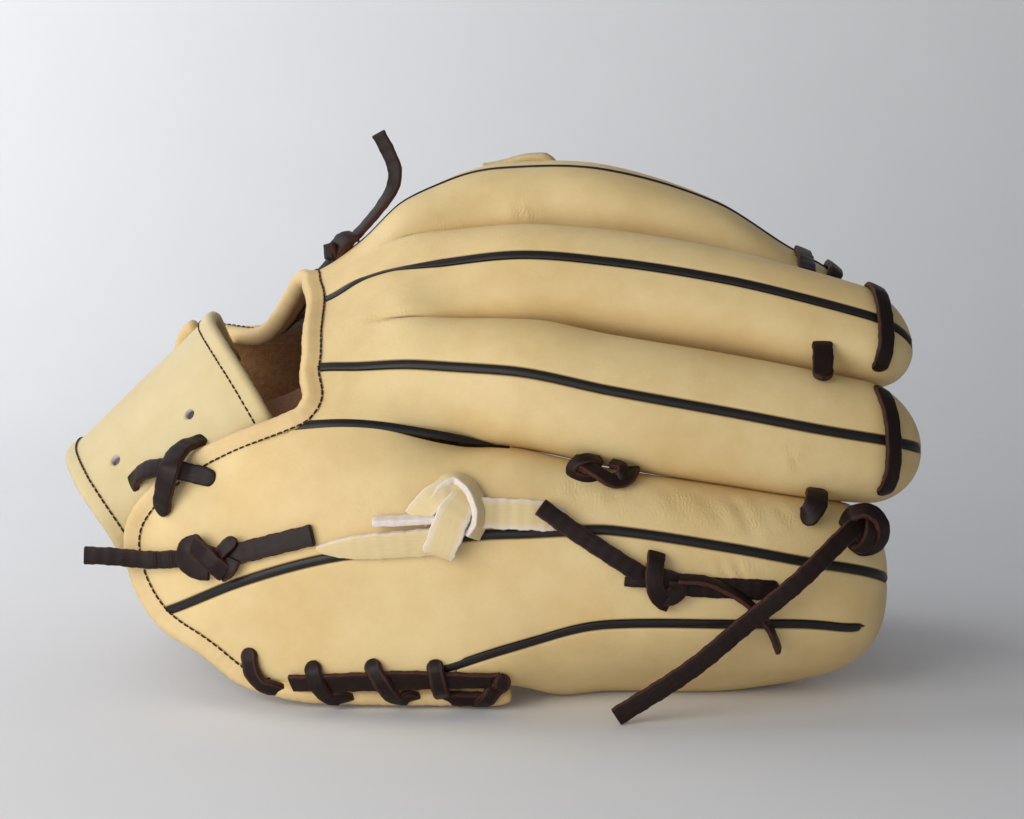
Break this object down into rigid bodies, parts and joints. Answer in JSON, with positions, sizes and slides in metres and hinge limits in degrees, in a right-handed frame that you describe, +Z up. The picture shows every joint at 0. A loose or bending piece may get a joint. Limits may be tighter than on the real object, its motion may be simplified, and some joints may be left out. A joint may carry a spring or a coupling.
{
  "type": "baseball glove",
  "caption": "Leather ball glove lying pocket down like an arch, with finger stalls, closed web, open back, wrist strap, dark piping and rawhide laces.",
  "frame": {"origin": "middle of the plan of the bounding box, on the floor that the glove lies on", "axes": "+X towards the fingertips, -Y the little finger's side, +Y the thumb's side, +Z up; the pocket faces down"},
  "size_m": [0.3008, 0.1818, 0.191],
  "materials": {
    "shell_leather": "smooth pale tan leather, lightly worn",
    "strap_leather": "pale cream leather with suede cut edges",
    "rawhide_lace": "very dark brown rawhide, edges worn reddish",
    "seam_welt": "dark brown piping",
    "palm_lining": "brown lining leather"
  },
  "bodies": {
    "root": {"back_opening_binding": "shell_leather", "finger_strap_lace": "strap_leather", "heel_binding": "shell_leather", "heel_knot_lace": "rawhide_lace", "heel_lace_bar": "rawhide_lace", "heel_lace_wrap_1": "rawhide_lace", "heel_lace_wrap_2": "rawhide_lace", "heel_lace_wrap_3": "rawhide_lace", "heel_lace_wrap_4": "rawhide_lace", "heel_lace_wrap_5": "rawhide_lace", "index_middle_tip_lace": "rawhide_lace", "index_side_panel": "shell_leather", "index_tip_lace": "rawhide_lace", "index_welt": "seam_welt", "middle_index_panel": "shell_leather", "middle_ring_tip_lace": "rawhide_lace", "middle_tip_lace": "rawhide_lace", "middle_welt": "seam_welt", "palm_heel_binding": "shell_leather", "palm_lining": "palm_lining", "palm_shell": "shell_leather", "pinky_back_panel": "shell_leather", "pinky_lower_welt": "seam_welt", "pinky_side_lace": "rawhide_lace", "pinky_side_panel": "shell_leather", "pinky_tip_lace": "rawhide_lace", "pinky_under_panel": "shell_leather", "pinky_upper_welt": "seam_welt", "ring_half_panel": "shell_leather", "ring_middle_panel": "shell_leather", "ring_pinky_lace": "rawhide_lace", "ring_pinky_tip_lace": "rawhide_lace", "ring_side_welt": "seam_welt", "ring_tip_lace": "rawhide_lace", "ring_welt": "seam_welt", "strap_binding_finger": "strap_leather", "strap_binding_wrist": "strap_leather", "thumb_back_panel": "shell_leather", "thumb_heel_binding": "shell_leather", "thumb_knot_lace": "rawhide_lace", "thumb_side_panel": "shell_leather", "thumb_welt": "seam_welt", "web_index_lace": "rawhide_lace", "web_middle_lace": "rawhide_lace", "web_panel_index": "shell_leather", "web_panel_thumb": "shell_leather", "web_seam_welt": "seam_welt", "web_thumb_lace": "rawhide_lace", "wing_lace_over": "rawhide_lace", "wing_lace_under": "rawhide_lace", "wrist_strap": "strap_leather"}
  },
  "joints": []
}
